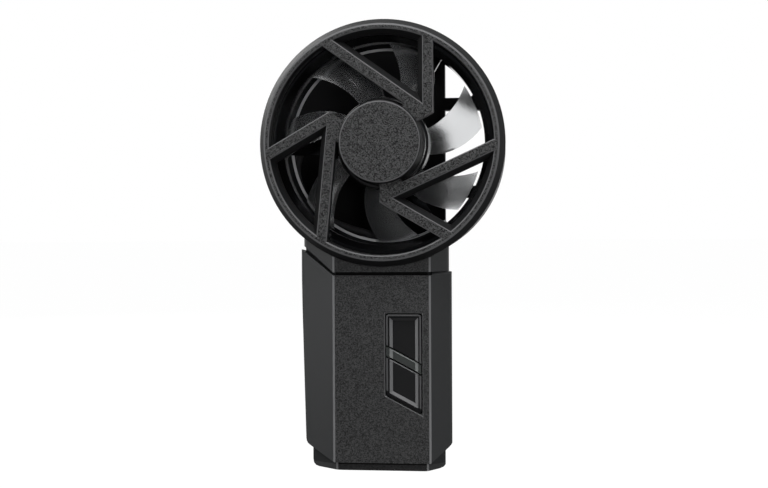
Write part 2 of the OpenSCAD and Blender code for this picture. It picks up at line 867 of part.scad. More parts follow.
// Stator: a ring on the bearing tube with T-shaped poles, and a coil on each
module stator_core() {
    color("#9a9da1")
    difference() {
        union() {
            bar_y(y_core, y_core + core_t, core_ring_r);
            for (i = [0 : poles - 1]) spun(i * 360 / poles) {
                box([core_ring_r - fit, y_core, -pole_half],
                    [stator_r - shoe_t / 2, y_core + core_t, pole_half]);
                turned([
                    [stator_r - shoe_t, y_core],
                    [stator_r, y_core],
                    [stator_r, y_core + core_t],
                    [stator_r - shoe_t, y_core + core_t]], from = -shoe_a / 2, sweep = shoe_a);
            }
        }
        bar_y(y_core - eps, y_core + core_t + eps, tube_r + press);
    }
}

module stator_coils() {
    x0 = core_ring_r + wind_gap;
    x1 = stator_r - shoe_t - wind_gap;
    half = pole_half + wind_t;
    color("#b5672f")
    for (i = [0 : poles - 1]) spun(i * 360 / poles)
        difference() {
            box([x0, y_core - wind_t, -half], [x1, y_core + core_t + wind_t, half]);
            box([x0 - 1, y_core, -pole_half - press], [x1 + 1, y_core + core_t, pole_half + press]);
        }
}

module motor_board() {
    color("#1d5a3a")
    difference() {
        bar_y(y_motor_board, y_base, magnet_in_r);
        bar_y(y_motor_board - eps, y_base + eps, tube_seat_r + fit);
    }
}

// Spigot of the neck that goes into the body
module spigot(grow) {
    box([body_mid_x - spigot_half - grow, y_spigot - grow, z_top - spigot_len - grow],
        [body_mid_x + spigot_half + grow, y_back - wall - fit + grow, z_top + neck_gap + grow]);
}

module head_housing() {
    color("#232425")
    difference() {
        union() {
            turned([
                [bore_r, y_ring_back],
                [housing_r, y_ring_back],
                [housing_r, y_chamber],
                [shoulder_r, y_chamber],
                [shoulder_r, y_frame_back],
                [bore_r, y_frame_back]]);
            turned([
                [bore_r, y_frame_back],
                [housing_r, y_frame_back],
                [housing_r, y_cover],
                [bore_r, y_cover]], from = 185, sweep = 170);
            for (p = post_at) bar_y(y_frame_back, y_cover, post_r, at = p);
            difference() {
                union() {
                    body_form(eased_section(0, neck_in), neck_front_view());
                    body_form(collar_section(), collar_front_view());
                }
                bar_y(y_ring_back, y_back + 1, neck_cut_r);
            }
            spigot(0);
        }
        bar_y(y_face - 1, y_ring_back, ring_r + fit);
        bar_y(y_cover, y_back + 1, housing_r + fit);
        for (p = post_at) bar_y(y_cover - screw_bite - 1, y_cover + eps, screw_r, at = p);
        for (x = screw_x) bar_y(y_back - wall - screw_bite - 1, y_back, screw_r, at = [x, upper_screw_z]);
        translate([lead_x, y_lead, z_lead_hole - far]) cylinder(h = far, r = lead_hole_r);
    }
}

// Rounds the corner where a bar's edge meets the window's round side; the window is
// above the edge for s = 1 and below it for s = -1
module window_fillet(z_edge, s) {
    z = z_edge + s * window_corner;
    x = sqrt(pow(window_r - window_corner, 2) - z * z);
    difference() {
        along_y(y_cover - 1, y_back + 1)
            polygon([[x, z_edge], [ring_r, z_edge], [x, z] * ring_r / (window_r - window_corner)]);
        bar_y(y_cover - 2, y_back + 2, window_corner, at = [x, z]);
    }
}

// Window in the back plate: straight and bevelled towards the middle, round outside,
// with two bars across it
module window_cut() {
    difference() {
        intersection() {
            bar_y(y_cover - eps, y_back + eps, window_r);
            translate([0, 0, -ring_r]) linear_extrude(2 * ring_r)
                polygon([
                    [window_x - window_bevel - eps, y_cover - eps],
                    [ring_r, y_cover - eps],
                    [ring_r, y_back + eps],
                    [window_x, y_back + eps],
                    [window_x, y_cover + window_bevel]]);
        }
        for (s = [-1, 1]) {
            box([0, y_cover - 1, s * bar_z - bar_h / 2], [ring_r, y_back + 1, s * bar_z + bar_h / 2]);
            for (t = [-1, 1]) window_fillet(s * bar_z + t * bar_h / 2, t);
        }
    }
}

// Shelf with a lip at its end that grips one edge of the phone; s is 1 for the upper jaw
// and -1 for the lower one, and z is its outer face
module jaw_hook(x, y_in, z, s) {
    x0 = x - jaw_half_w;
    x1 = x + jaw_half_w;
    intersection() {
        along_x(x0, x1) polygon(softened([
            [y_in, z],
            [y_in, z - s * jaw_t],
            [y_jaw_lip, z - s * jaw_t],
            [y_jaw_lip, z - s * (jaw_t + lip_h)],
            [y_jaw_end, z - s * (jaw_t + lip_h)],
            [y_jaw_end, z]], [0, 0, 0, hook_tip, hook_tip, hook_edge]));
        translate([0, 0, -far]) linear_extrude(2 * far) polygon(softened([
            [x0, y_in - 1],
            [x1, y_in - 1],
            [x1, y_jaw_end],
            [x0, y_jaw_end]], [0, 0, hook_corner, hook_corner]));
    }
}

module rear_cover() {
    edge = 0.7;
    color("#19191a")
    difference() {
        union() {
            turned([
                [0, y_cover],
                [housing_r, y_cover],
                [housing_r, y_back - edge],
                [housing_r - edge, y_back],
                [0, y_back]]);
            box([-jaw_half_w, y_cover, upper_jaw_z - 2 * jaw_t], [jaw_half_w, y_back, upper_jaw_z]);
            jaw_hook(0, y_cover, upper_jaw_z, 1);
        }
        window_cut();
        for (p = post_at) {
            bar_y(y_cover - eps, y_back + eps, screw_r + screw_gap, at = p);
            bar_y(y_back - screw_head_t, y_back + eps, screw_head_r + screw_gap, at = p);
        }
    }
}

module upper_jaw_pad() {
    color("#101011")
    box([-jaw_half_w + jaw_pad_in, fit, upper_jaw_z - jaw_t - pad_t],
        [jaw_half_w - jaw_pad_in, y_jaw_lip - fit, upper_jaw_z - jaw_t]);
}

module head_pad() {
    color("#101011")
    box([-head_pad_half.x, y_back, -head_pad_half.y], [head_pad_half.x, 0, head_pad_half.y]);
}

module body_pad() {
    color("#101011")
    box([body_mid_x - body_pad_half, y_back, body_pad_z0], [body_mid_x + body_pad_half, 0, body_pad_z1]);
}

module body_solid() {
    difference() {
        body_form(eased_section(), body_front_view());
        body_form(inset(body_section(), wall), hollow_view());
        body_form(inset(body_section(), skirt_wall), [
            [-left_low_w + skirt_wall, z_foot],
            [right_w - skirt_wall, z_foot],
            [right_w - skirt_wall, z_floor_under],
            [-left_low_w + skirt_wall, z_floor_under]]);
        spigot(fit);
        translate([face_right, y_body, z_top + neck_gap])
            rotate([0, 0, atan2(right_facet_d, right_w - face_right)])
                rotate([45, 0, 0]) cube([far, shoulder_edge, shoulder_edge], center = true);
        for (x = [-1, 1])
            translate([body_mid_x + x * rod_span / 2, y_rod, z_floor_under - 1])
                cylinder(h = floor_t + 2, r = rod_r + run);
    }
}

// Outline of the button group between two heights on its left edge, grown by g, with rounded
// corners at the ends of the group
function button_outline(z1, z0, top_slope, low_slope, g, top_cut = 0, low_cut = 0) = softened([
    [button_x - g, z0 - g],
    [button_x + button_w + g, z0 - low_slope * button_w - g],
    [button_x + button_w + g, z1 - top_slope * button_w + g],
    [button_x - g, z1 + g]], [low_cut, low_cut, top_cut, top_cut]);

// Space between the four sides of a button at depths y0 and y1; d0 and d1 are the distances
// inside the left, right, top and lower side
module button_space(z1, z0, top_slope, low_slope, y0, y1, d0, d1) {
    top_a = 90 - atan(top_slope);
    low_a = 270 - atan(low_slope);
    top_d = [button_x, z1] * [cos(top_a), sin(top_a)];
    low_d = [button_x, z0] * [cos(low_a), sin(low_a)];
    intersection() {
        slab_under(180, -button_x - d0[0], y0, y1, d0[0] - d1[0]);
        slab_under(0, button_x + button_w - d0[1], y0, y1, d0[1] - d1[1]);
        slab_under(top_a, top_d - d0[2], y0, y1, d0[2] - d1[2]);
        slab_under(low_a, low_d - d0[3], y0, y1, d0[3] - d1[3]);
    }
}

module body_front() {
    color("#2b2b2c")
    difference() {
        union() {
            intersection() {
                body_solid();
                box([-far, y_body - 1, -far], [far, y_split, 0]);
            }
            for (x = screw_x) bar_y(y_body + wall - eps, y_split, post_r, at = [x, low_screw_z]);
            for (p = board_screw_at) bar_y(y_body + wall - eps, y_board, board_post_r, at = p);
            for (p = board_rest_at) bar_y(y_body + wall - eps, y_board, board_rest_r, at = p);
        }
        along_y(y_body - 1, y_body + wall + 1)
            polygon(button_outline(z_button, lower_z0, 0, button_slope, button_gap,
                button_corner, button_corner));
        button_space(z_button, lower_z0, 0, button_slope, y_body - eps, y_body + button_edge,
            -(button_gap + button_edge) * [1, 1, 1, 1], -button_gap * [1, 1, 1, 1]);
        for (x = screw_x) bar_y(y_split - screw_bite - 1, y_split + eps, screw_r, at = [x, low_screw_z]);
        for (p = board_screw_at)
            bar_y(y_board - board_screw_len - 0.5, y_board + eps, board_screw_r + press, at = p);
        usb_cut();
    }
}

module body_rear() {
    color("#232425")
    difference() {
        union() {
            intersection() {
                body_solid();
                box([-far, y_split, -far], [far, y_back + 1, 0]);
            }
            for (x = screw_x) bar_y(y_split, y_back - wall + eps, post_r, at = [x, low_screw_z]);
        }
        box([-far, y_rod - clip_r, -far], [far, y_back + 1, z_shelf + slide]);
        for (x = screw_x, z = [upper_screw_z, low_screw_z]) {
            bar_y(y_split - 1, y_back + eps, screw_r + screw_gap, at = [x, z]);
            bar_y(y_back - screw_head_t, y_back + eps, screw_head_r + screw_gap, at = [x, z]);
        }
        usb_cut();
    }
}

// Tray-shaped button between two edges; the dish has a rim on the edges at the group's ends
// and runs through to the others, whose upper ones are chamfered
module button_tray(z1, z0, top_slope, low_slope, top_edge, low_edge) {
    y_dish = y_body + button_dish;
    step = button_step_w / button_step_d;
    slope = button_slope_w / (button_dish - button_step_d);
    slope_in = button_rim + button_step_w - slope * button_step_d;
    // Room between walls that stand in by d at the body's face and lean in by lean
    module room(d, lean) {
        function sides(d) = [d, d, top_edge ? d : -1, low_edge ? d : -1];
        button_space(z1, z0, top_slope, low_slope, y_body - eps, y_dish,
            sides(d - lean * eps), sides(d + lean * button_dish));
    }
    difference() {
        along_y(y_body, y_body + button_t)
            polygon(button_outline(z1, z0, top_slope, low_slope, 0,
                top_edge ? button_corner : 0, low_edge ? button_corner : 0));
        intersection() {
            room(button_rim, step);
            room(slope_in, slope);
        }
        if (!top_edge)
            translate([button_x, y_dish, z1]) rotate([0, atan(top_slope), 0]) rotate([45, 0, 0])
                cube([far, button_edge, button_edge] * sqrt(2), center = true);
    }
}

// Button with its retaining flanges and the stem over its switch
module push_button(z1, z0, top_slope, low_slope, top_edge, low_edge, stem) {
    z = (z1 + z0) / 2;
    button_tray(z1, z0, top_slope, low_slope, top_edge, low_edge);
    along_y(y_body + wall, y_button_back) {
        polygon(button_outline(z1, z0, top_slope, low_slope, 0));
        polygon([
            [button_x - flange_w, z - flange_half_h],
            [button_x + button_w + flange_w, z - 2 * button_mid_drop - flange_half_h],
            [button_x + button_w + flange_w, z - 2 * button_mid_drop + flange_half_h],
            [button_x - flange_w, z + flange_half_h]]);
    }
    bar_y(y_button_back - eps, y_button_back + stem_len, stem_r, at = stem);
}

module upper_button() {
    color("#1b1b1c")
    push_button(z_button, upper_z0, 0, button_slope, true, false, upper_stem);
}

module lower_button() {
    color("#1b1b1c")
    push_button(lower_z1, lower_z0, button_slope, button_slope, false, true, lower_stem);
}

module indicator_strip() {
    color("#6a706c") {
        button_tray(strip_z1, strip_z0, button_slope, button_slope, false, false);
        bar_y(y_body + button_t - eps, y_led - fit, leg_r, at = strip_leg);
        along_y(y_body + wall, y_body + wall + flange_t)
            polygon([
                [button_x - flange_w, strip_z0],
                [button_x + button_w + flange_w, strip_z0 - 2 * button_mid_drop],
                [button_x + button_w + flange_w, strip_z1 - 2 * button_mid_drop],
                [button_x - flange_w, strip_z1]]);
    }
}

module indicator_led() {
    x = strip_leg.x;
    z = strip_leg.y;
    color("#d8d2b0")
    box([x - led_size.x / 2, y_led, z - led_size.y / 2], [x + led_size.x / 2, y_board, z + led_size.y / 2]);
}

module main_board() {
    color("#1d4f38")
    difference() {
        box([board_x0, y_board, board_z0], [board_x1, y_board_back, board_z1]);
        for (p = board_screw_at) bar_y(y_board - eps, y_board_back + eps, board_screw_r + screw_gap, at = p);
    }
}

module tact_switches() {
    color("#b9bcc0")
    for (p = [upper_stem, lower_stem]) {
        box([p.x - switch_w / 2, y_board - switch_t, p.y - switch_w / 2],
            [p.x + switch_w / 2, y_board, p.y + switch_w / 2]);
        bar_y(y_board - switch_t - plunger_t, y_board - switch_t + eps, plunger_r, at = p);
    }
}

// USB socket on the back of the board, reaching into the body's left side
module usb_shell(grow, reach = 0) {
    r = usb_size.y / 2;
    x0 = usb_x1 - usb_size.x - reach;
    half = usb_size.z / 2 - r;
    for (s = [-1, 1])
        translate([x0, y_board_back + r, usb_z + s * half])
            rotate([0, 90, 0]) cylinder(h = usb_x1 - x0 - max(0, -grow), r = r + grow);
    box([x0, y_board_back - grow, usb_z - half],
        [usb_x1 - max(0, -grow), y_board_back + usb_size.y + grow, usb_z + half]);
}

module usb_cut() {
    usb_shell(usb_gap, reach = usb_reach);
}

module usb_socket() {
    y = y_board_back + usb_size.y / 2;
    color("#b4b7bb")
    difference() {
        usb_shell(0);
        difference() {
            usb_shell(-usb_shell_t, reach = 1);
            box([usb_x1 - usb_size.x + usb_tongue_in, y - usb_tongue.x / 2, usb_z - usb_tongue.y / 2],
                [usb_x1, y + usb_tongue.x / 2, usb_z + usb_tongue.y / 2]);
        }
    }
}

module battery_cell() {
    x0 = cell_x1 - cell_w;
    y1 = y_board_back + cell_t;
    color("#8d9298")
    translate([0, 0, cell_z0]) linear_extrude(cell_z1 - cell_z0)
        polygon([
            [x0, y_board_back],
            [cell_x1, y_board_back],
            [cell_x1, y1 - cell_edge],
            [cell_x1 - cell_edge, y1],
            [x0 + cell_edge, y1],
            [x0, y1 - cell_edge]]);
}

// Tube along a list of points; its sides keep their bearing from point to point
function route_dir(pts, i) = unit(pts[min(i + 1, len(pts) - 1)] - pts[max(i - 1, 0)]);
function square_to(v, d) = unit(v - (v * d) * d);
function bearings(pts, first) = [for (i = 0, u = square_to(first, route_dir(pts, 0)); i < len(pts);
    i = i + 1, u = square_to(u, route_dir(pts, i))) u];
module tube_along(pts, r, sides, first) {
    n = len(pts);
    bear = bearings(pts, first);
    rings = [for (i = [0 : n - 1]) let (u = bear[i], v = cross(route_dir(pts, i), u))
        each [for (k = [0 : sides - 1]) let (a = 360 * k / sides) pts[i] + r * (cos(a) * u + sin(a) * v)]];
    walls = [for (i = [0 : n - 2], k = [0 : sides - 1])
        let (a = i * sides + k, b = i * sides + (k + 1) % sides)
        each [[a, b + sides, b], [a, a + sides, b + sides]]];
    ends = [for (k = [1 : sides - 2]) each [[0, k, k + 1],
        [(n - 1) * sides, (n - 1) * sides + k + 1, (n - 1) * sides + k]]];
    polyhedron(rings, concat(walls, ends));
}

module fan_lead() {
    color("#111112")
    tube_along(lead_route, lead_r, 8, [0, 0, 1]);
}

// The two places of the guide rods
module at_rods(z) {
    for (s = [-1, 1]) translate([body_mid_x + s * rod_span / 2, y_rod, z]) children();
}

// Foot of the body and the shelf behind it that grips the phone's lower edge
module lower_jaw() {
    left = -left_low_w + foot_in;
    right = right_w - foot_in;
    color("#262728")
    difference() {
        union() {
            body_form(eased_section(foot_in), softened([
                [left, z_foot + foot_drop],
                [-face_left + foot_corner, z_foot],
                [face_right - foot_corner, z_foot],
                [right, z_foot + foot_drop],
                [right, z_floor_under],
                [left, z_floor_under]], [foot_corner, 0, 0, foot_corner, 0, 0]));
            jaw_hook(body_mid_x, y_rod - rod_r, z_foot, -1);
        }
        at_rods(z_foot + rod_in_jaw) cylinder(h = far, r = rod_r + press);
    }
}

module lower_jaw_pad() {
    half = jaw_half_w - jaw_pad_in;
    color("#101011")
    box([body_mid_x - half, fit, z_shelf], [body_mid_x + half, y_jaw_lip - fit, z_shelf + pad_t]);
}

module guide_rods() {
    color("#c9ccd1")
    difference() {
        at_rods(z_foot + rod_in_jaw) cylinder(h = z_rod_top - z_foot - rod_in_jaw, r = rod_r);
        at_rods(z_floor + spring_len) difference() {
            cylinder(h = clip_t, r = clip_r);
            translate([0, 0, -1]) cylinder(h = clip_t + 2, r = rod_r - clip_groove);
        }
    }
}

module rod_clips() {
    color("#77797d")
    at_rods(z_floor + spring_len) difference() {
        cylinder(h = clip_t, r = clip_r);
        translate([0, 0, -1]) cylinder(h = clip_t + 2, r = rod_r - clip_groove + press);
        box([-rod_r / 2, 0, -1], [rod_r / 2, 2 * clip_r, clip_t + 1]);
    }
}

// One spring: a helix from the body's floor to the clip
function spring_route() =
    let (per_turn = 10, steps = per_turn * spring_turns, start = spring_wire / 2 + press)
    [for (i = [0 : steps]) let (a = 360 * i / per_turn)
        [spring_r * cos(a), spring_r * sin(a), start + (spring_len - 2 * start) * i / steps]];

module jaw_springs() {
    color("#a9acb0")
    at_rods(z_floor) tube_along(spring_route(), spring_wire / 2, 6, [0, 0, 1]);
}

// Cross recess in a screw's head of radius r and thickness t whose top is at depth y
module cross_recess(at, y, r, t) {
    half = r * recess_len;
    half_w = r * recess_w;
    for (a = [0, 90]) translate([at.x, y, at.y]) rotate([0, a + recess_turn, 0])
        box([-half, -t * recess_d, -half_w], [half, eps, half_w]);
}

// Pan-head screw along Y, with its head towards the back
module screw(at, len) {
    y_head = y_back - screw_sunk;
    difference() {
        bar_y(y_back - screw_head_t, y_head, screw_head_r, at = at);
        cross_recess(at, y_head, screw_head_r, screw_head_t - screw_sunk);
    }
    bar_y(y_head - len, y_back - screw_head_t + eps, screw_r - press, at = at);
}

module cover_screws() {
    color("#55575a")
    for (p = post_at) screw(p, cover_t + screw_bite);
}

module body_screws() {
    color("#55575a") for (x = screw_x) {
        screw([x, upper_screw_z], wall + screw_bite);
        screw([x, low_screw_z], y_back - y_split + screw_bite);
    }
}

module board_screws() {
    color("#8d9095")
    for (p = board_screw_at) {
        difference() {
            bar_y(y_board_back, y_board_back + board_head_t, 2 * board_screw_r, at = p);
            cross_recess(p, y_board_back + board_head_t, 2 * board_screw_r, board_head_t);
        }
        bar_y(y_board - board_screw_len, y_board_back + eps, board_screw_r, at = p);
    }
}

front_grille();
hub_cap();
fan_frame();
impeller();
rotor_yoke();
rotor_magnet();
motor_shaft();
bearing_sleeve();
stator_core();
stator_coils();
motor_board();
head_housing();
rear_cover();
upper_jaw_pad();
head_pad();
body_front();
body_rear();
body_pad();
upper_button();
lower_button();
indicator_strip();
indicator_led();
main_board();
tact_switches();
usb_socket();
battery_cell();
fan_lead();
lower_jaw();
lower_jaw_pad();
guide_rods();
rod_clips();
jaw_springs();
cover_screws();
body_screws();
board_screws();
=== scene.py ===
"""Clip-on phone cooling fan: looks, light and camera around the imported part."""

import json
import math

import bmesh
import bpy
from mathutils import Matrix, Vector


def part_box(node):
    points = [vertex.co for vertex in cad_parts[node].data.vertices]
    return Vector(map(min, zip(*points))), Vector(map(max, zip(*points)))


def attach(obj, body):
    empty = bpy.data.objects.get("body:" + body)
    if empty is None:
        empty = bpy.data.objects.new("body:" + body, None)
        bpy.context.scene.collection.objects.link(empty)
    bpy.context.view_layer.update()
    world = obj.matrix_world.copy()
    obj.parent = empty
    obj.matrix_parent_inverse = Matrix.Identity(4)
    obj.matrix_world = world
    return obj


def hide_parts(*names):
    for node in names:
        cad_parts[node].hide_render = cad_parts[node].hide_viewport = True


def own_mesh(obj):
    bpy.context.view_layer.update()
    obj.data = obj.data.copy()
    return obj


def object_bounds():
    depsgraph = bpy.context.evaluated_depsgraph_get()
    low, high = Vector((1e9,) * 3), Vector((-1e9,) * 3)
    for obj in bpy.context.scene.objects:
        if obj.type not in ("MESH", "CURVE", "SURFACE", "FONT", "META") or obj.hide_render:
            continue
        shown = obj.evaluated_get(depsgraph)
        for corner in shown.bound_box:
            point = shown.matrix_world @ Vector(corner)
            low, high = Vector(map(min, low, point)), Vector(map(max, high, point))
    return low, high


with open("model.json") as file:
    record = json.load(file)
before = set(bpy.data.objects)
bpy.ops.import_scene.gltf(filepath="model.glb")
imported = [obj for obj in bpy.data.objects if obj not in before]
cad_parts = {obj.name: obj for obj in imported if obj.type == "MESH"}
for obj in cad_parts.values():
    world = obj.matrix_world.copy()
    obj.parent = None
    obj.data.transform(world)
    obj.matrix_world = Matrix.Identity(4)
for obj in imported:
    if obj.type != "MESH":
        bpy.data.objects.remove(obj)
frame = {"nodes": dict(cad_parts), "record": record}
nodes = frame["nodes"]
cad_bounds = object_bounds()
scene = bpy.context.scene
MM = 0.001

# Camera: it stands a little to the right of the fan and just below its axis, close enough
# that the back of the head shifts to the right and down behind the ring.
PICTURE_W, FOCAL_PX = 768, 1300
CAMERA_PLACE = (24.89, -228.43, -13.77)
YAW_PITCH_ROLL = (6.697, -0.711, -0.267)
camera_data = bpy.data.cameras.new("photo_camera")
camera_data.sensor_fit = "HORIZONTAL"
camera_data.sensor_width = 36
camera_data.lens = camera_data.sensor_width * FOCAL_PX / PICTURE_W
camera_data.clip_start, camera_data.clip_end = 0.01, 20
camera = bpy.data.objects.new("photo_camera", camera_data)
scene.collection.objects.link(camera)
yaw, pitch, roll = (math.radians(angle) for angle in YAW_PITCH_ROLL)
ahead = Vector((-math.sin(yaw) * math.cos(pitch), math.cos(yaw) * math.cos(pitch), math.sin(pitch)))
level = Vector((math.cos(yaw), math.sin(yaw), 0))
upright = level.cross(ahead)
across = level * math.cos(roll) + upright * math.sin(roll)
above = upright * math.cos(roll) - level * math.sin(roll)
camera.matrix_world = (
    Matrix.Translation(Vector(CAMERA_PLACE) * MM)
    @ Matrix((across, above, -ahead)).transposed().to_4x4()
)
scene.camera = camera
scene.view_settings.view_transform = "Standard"


# Studio: a white sweep and seven soft boxes. The floor lies below the reach of the open
# jaw. Rays from the camera, and those that plastic reflects or lets through, see white.
def reckon(tree, kind, first, second):
    """One step of arithmetic on two values, each a number or the output of a node."""
    step = tree.nodes.new("ShaderNodeMath")
    step.operation = kind
    for socket, value in zip(step.inputs, (first, second)):
        if isinstance(value, (int, float)):
            socket.default_value = value
        else:
            tree.links.new(value, socket)
    return step.outputs[0]


def seen_white(tree, away, near, far):
    """Share of a ray that sees white: all from the camera, and what plastic reflects or lets
    through where the given measure of distance behind the object runs from near to far."""
    path = tree.nodes.new("ShaderNodeLightPath")
    behind = tree.nodes.new("ShaderNodeMapRange")
    behind.inputs["From Min"].default_value = near
    behind.inputs["From Max"].default_value = far
    tree.links.new(away, behind.inputs["Value"])
    glossy, passing = path.outputs["Is Glossy Ray"], path.outputs["Is Transmission Ray"]
    turned = reckon(tree, "MULTIPLY", reckon(tree, "MAXIMUM", glossy, passing), behind.outputs[0])
    return reckon(tree, "MAXIMUM", path.outputs["Is Camera Ray"], turned)


def depth_of(tree, coordinates):
    place = tree.nodes.new("ShaderNodeTexCoord")
    split = tree.nodes.new("ShaderNodeSeparateXYZ")
    tree.links.new(place.outputs[coordinates], split.inputs[0])
    return split.outputs["Y"]


FLOOR_DROP, FLOOR_R, FLOOR_SIDES = 0.019, 6, 96
PAPER_GLOW, GLOW_SHARE = 1.05, 0.94
floor_mesh = bpy.data.meshes.new("studio_floor")
sweep = bmesh.new()
bmesh.ops.create_circle(sweep, cap_ends=True, segments=FLOOR_SIDES, radius=FLOOR_R)
sweep.to_mesh(floor_mesh)
sweep.free()
floor = bpy.data.objects.new("studio_floor", floor_mesh)
floor.location.z = cad_bounds[0].z - FLOOR_DROP
scene.collection.objects.link(floor)
paper = bpy.data.materials.new("white_paper")
paper.use_nodes = True
tree = paper.node_tree
tree.nodes.clear()
white_part = seen_white(tree, depth_of(tree, "Object"), 0.02, 0.4)
sheet = tree.nodes.new("ShaderNodeBsdfDiffuse")
tone = tree.nodes.new("ShaderNodeMix")
tone.data_type = "RGBA"
tone.inputs["A"].default_value = (0.15, 0.15, 0.15, 1)
tone.inputs["B"].default_value = (0.86, 0.86, 0.86, 1)
tree.links.new(tree.nodes.new("ShaderNodeLightPath").outputs["Is Camera Ray"], tone.inputs["Factor"])
tree.links.new(tone.outputs["Result"], sheet.inputs["Color"])
glow = tree.nodes.new("ShaderNodeEmission")
glow.inputs["Color"].default_value = (1, 1, 1, 1)
glow.inputs["Strength"].default_value = PAPER_GLOW
blend = tree.nodes.new("ShaderNodeMixShader")
tree.links.new(reckon(tree, "MULTIPLY", white_part, GLOW_SHARE), blend.inputs["Fac"])
tree.links.new(sheet.outputs[0], blend.inputs[1])
tree.links.new(glow.outputs[0], blend.inputs[2])
tree.links.new(blend.outputs[0], tree.nodes.new("ShaderNodeOutputMaterial").inputs["Surface"])
floor_mesh.materials.append(paper)

world = bpy.data.worlds.new("studio")
scene.world = world
world.use_nodes = True
tree = world.node_tree
tree.nodes.clear()
room = tree.nodes.new("ShaderNodeBackground")
room.inputs["Color"].default_value = (0.86, 0.93, 1, 1)
room.inputs["Strength"].default_value = 0.1
white = tree.nodes.new("ShaderNodeBackground")
white.inputs["Color"].default_value = (1, 1, 1, 1)
white.inputs["Strength"].default_value = 1
blend = tree.nodes.new("ShaderNodeMixShader")
tree.links.new(seen_white(tree, depth_of(tree, "Generated"), 0.1, 0.8), blend.inputs["Fac"])
tree.links.new(room.outputs[0], blend.inputs[1])
tree.links.new(white.outputs[0], blend.inputs[2])
tree.links.new(blend.outputs[0], tree.nodes.new("ShaderNodeOutputWorld").inputs["Surface"])


def soft_box(name, place, aim, size, power):
    lamp = bpy.data.lights.new(name, "AREA")
    lamp.shape = "RECTANGLE"
    lamp.size, lamp.size_y = size
    lamp.energy = power
    box = bpy.data.objects.new(name, lamp)
    box.location = place
    box.rotation_euler = (Vector(aim) - Vector(place)).to_track_quat("-Z", "Y").to_euler()
    scene.collection.objects.link(box)


soft_box("left_box", (-0.34, -0.16, -0.02), (0, 0, -0.02), (0.3, 0.34), 0.6)
soft_box("right_box", (0.36, -0.1, -0.1), (0, 0, -0.03), (0.2, 0.24), 0.2)
soft_box("low_box", (0.06, -0.05, -0.075), (0.012, -0.015, -0.05), (0.03, 0.03), 0.018)
soft_box("top_box", (0.0, -0.1, 0.24), (0, -0.02, 0), (0.25, 0.15), 0.75)
soft_box("high_box", (-0.1, -0.5, 0.35), (0, 0, -0.01), (0.3, 0.2), 0.48)
soft_box("front_box", (0.2, -0.56, 0.0), (0, 0, -0.01), (0.1, 0.1), 0.6)
soft_box("back_box", (-0.3, 0.45, 0.25), (0, 0, -0.02), (0.3, 0.3), 1.5)


# Duct: one gloss black moulding with a bell mouth, a rear lip, three struts, the motor's base
# and its bearing tube. The slopes of the rear lip are painted light grey as a highlight.
def finish(name, colour, roughness, **more):
    material = bpy.data.materials.new(name)
    material.use_nodes = True
    shader = shader_of(material)
    shader.inputs["Base Color"].default_value = (*colour, 1)
    shader.inputs["Roughness"].default_value = roughness
    for key, value in more.items():
        shader.inputs[key.replace("_", " ")].default_value = value
    return material


def shader_of(material):
    return material.node_tree.nodes["Principled BSDF"]


def node_of(material, kind, **inputs):
    made = material.node_tree.nodes.new("ShaderNode" + kind)
    for key, value in inputs.items():
        made.inputs[key.replace("_", " ")].default_value = value
    return made


def wire(material, output, target):
    material.node_tree.links.new(output, target)


def in_place(material):
    return node_of(material, "TexCoord").outputs["Object"]


def uneven(material, scale, low, high):
    """Lets the gloss of the finish vary with a fine noise."""
    cloud = node_of(material, "TexNoise", Scale=scale, Detail=3)
    wire(material, in_place(material), cloud.inputs["Vector"])
    spread = node_of(material, "MapRange", To_Min=low, To_Max=high)
    wire(material, cloud.outputs["Fac"], spread.inputs["Value"])
    wire(material, spread.outputs[0], shader_of(material).inputs["Roughness"])


def along(material, direction):
    """How far a point lies along a direction from the frame's origin."""
    reach = node_of(material, "VectorMath")
    reach.operation = "DOT_PRODUCT"
    reach.inputs[1].default_value = direction
    wire(material, in_place(material), reach.inputs[0])
    return reach.outputs["Value"]


def facing(material, axis="Y"):
    """How far a face turns along an axis: at -1 on Y it looks straight to the front."""
    split = node_of(material, "SeparateXYZ")
    wire(material, node_of(material, "NewGeometry").outputs["True Normal"], split.inputs[0])
    return split.outputs[axis]


def either(material, test, no, yes):
    """One of two colours, each given as numbers or as the output of a node."""
    mixed = node_of(material, "Mix")
    mixed.data_type = "RGBA"
    wire(material, test, mixed.inputs["Factor"])
    for socket, colour in (("A", no), ("B", yes)):
        if isinstance(colour, tuple):
            mixed.inputs[socket].default_value = (*colour, 1)
        else:
            wire(material, colour, mixed.inputs[socket])
    return mixed.outputs["Result"]


def banded(material, bands, rest):
    """Colours each face by how far it turns to the front; a band ends at its limit."""
    turn = facing(material)
    colour = rest
    for limit, band in reversed(bands):
        inside = reckon(material.node_tree, "LESS_THAN", turn, limit)
        colour = either(material, inside, colour, band)
    wire(material, colour, shader_of(material).inputs["Base Color"])


def dressed(node, material):
    """Shows a CAD node in its finish."""
    materials = nodes[node].data.materials
    materials.clear()
    materials.append(material)


LIP_FRONT, FACES_FRONT, SLOPES = -14, -0.97, -0.2
black, lip_highlight_grey = (0.0025, 0.0025, 0.0028), (0.5, 0.5, 0.505)
duct_black = finish("duct_black", black, 0.16, Specular_IOR_Level=0.5)
depth = along(duct_black, (0, 1, 0))
at_rear = reckon(duct_black.node_tree, "GREATER_THAN", depth, LIP_FRONT * MM)
# Painted highlight: the slopes of the rear lip get light grey on the black duct.
painted_lip_highlight = either(duct_black, at_rear, black, lip_highlight_grey)
banded(duct_black, [(FACES_FRONT, black), (SLOPES, painted_lip_highlight)], black)
uneven(duct_black, 900, 0.1, 0.18)
dressed("fan_frame", duct_black)


# Motor: a laminated core with four wound poles on the bearing tube, its round board, and
# the sintered sleeve that the steel shaft turns in. The rotor's cup hides nearly all of it.
def bumpy(material, height, strength, depth):
    bump = node_of(material, "Bump", Strength=strength, Distance=depth)
    wire(material, height, bump.inputs["Height"])
    wire(material, bump.outputs[0], shader_of(material).inputs["Normal"])


